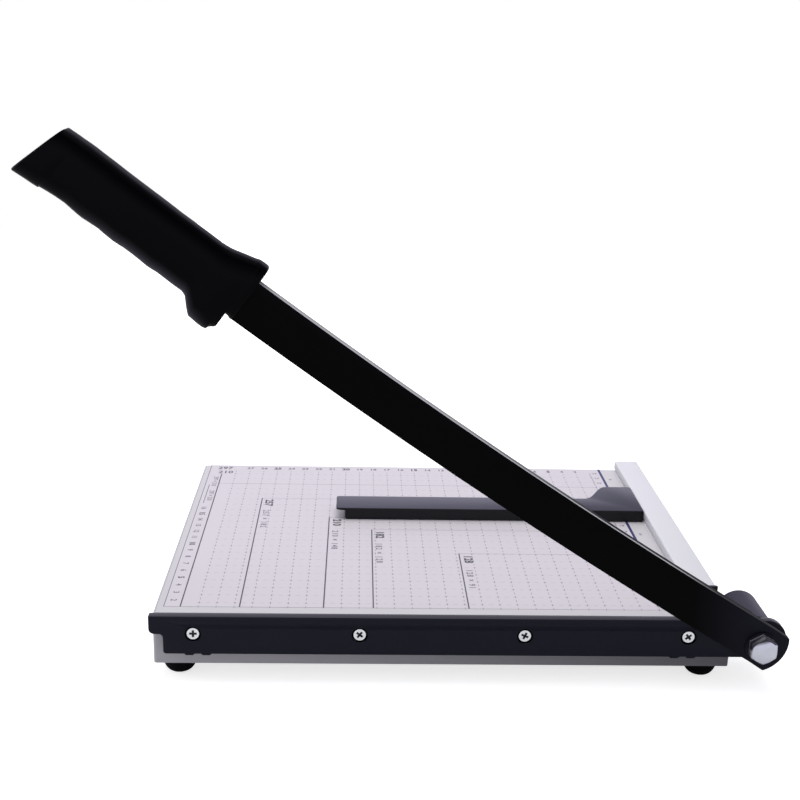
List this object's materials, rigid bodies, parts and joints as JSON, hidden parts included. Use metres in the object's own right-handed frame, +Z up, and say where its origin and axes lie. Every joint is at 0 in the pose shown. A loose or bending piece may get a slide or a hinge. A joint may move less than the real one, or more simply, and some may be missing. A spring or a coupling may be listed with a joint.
{
  "type": "guillotine paper cutter",
  "caption": "Desktop guillotine paper cutter with a steel tray bed, hinged blade arm with moulded grip, fence and sliding paper guide",
  "frame": {"origin": "centre of the printed top face of the board", "axes": "+X along the cut to the hinge side, +Y away from the cutting bar to the rear edge, +Z up"},
  "size_m": [0.412, 0.2636, 0.303],
  "materials": {
    "tray_paint": "satin",
    "printed_sheet": "satin",
    "bar_paint": "satin",
    "zinc_steel": "bright",
    "foot_rubber": "matte",
    "fence_plastic": "satin",
    "black_plastic": "satin",
    "bolt_zinc": "satin",
    "dark_steel": "satin",
    "spring_steel": "satin",
    "cover_plastic": "satin",
    "arm_paint": "satin",
    "blade_steel": "ground",
    "grip_plastic": "satin gloss"
  },
  "bodies": {
    "base": {"base_tray": "tray_paint", "grid_sheet": "printed_sheet", "cutting_bar": "bar_paint", "bar_screws": "zinc_steel", "bar_nuts": "zinc_steel", "foot_front_left": "foot_rubber", "foot_front_right": "foot_rubber", "foot_rear_left": "foot_rubber", "foot_rear_right": "foot_rubber", "foot_screws": "zinc_steel", "fence": "fence_plastic", "fence_cap": "black_plastic", "fence_screws": "zinc_steel", "pivot_bolt": "bolt_zinc", "head_washer": "dark_steel", "spacer_washer": "dark_steel", "spring_seat": "dark_steel", "pivot_spring": "spring_steel", "nut_washer": "dark_steel", "pivot_nut": "bolt_zinc", "pivot_cover": "cover_plastic"},
    "arm": {"arm_bar": "arm_paint", "blade": "blade_steel", "blade_screws": "zinc_steel", "handle_grip": "grip_plastic", "grip_screws": "zinc_steel"},
    "guide": {"paper_guide": "black_plastic", "guide_tongue": "dark_steel", "tongue_screws": "zinc_steel"}
  },
  "joints": [
    {"name": "arm_hinge", "type": "hinge", "parent": "base", "child": "arm", "pos_m": [0.1754, -0.1306, -0.01185], "axis": [0, 1, 0], "range_deg": [-33.85, 45]},
    {"name": "guide_slide", "type": "slide", "parent": "base", "child": "guide", "axis": [0, 1, 0], "range_m": [-0.108, 0.055]}
  ]
}
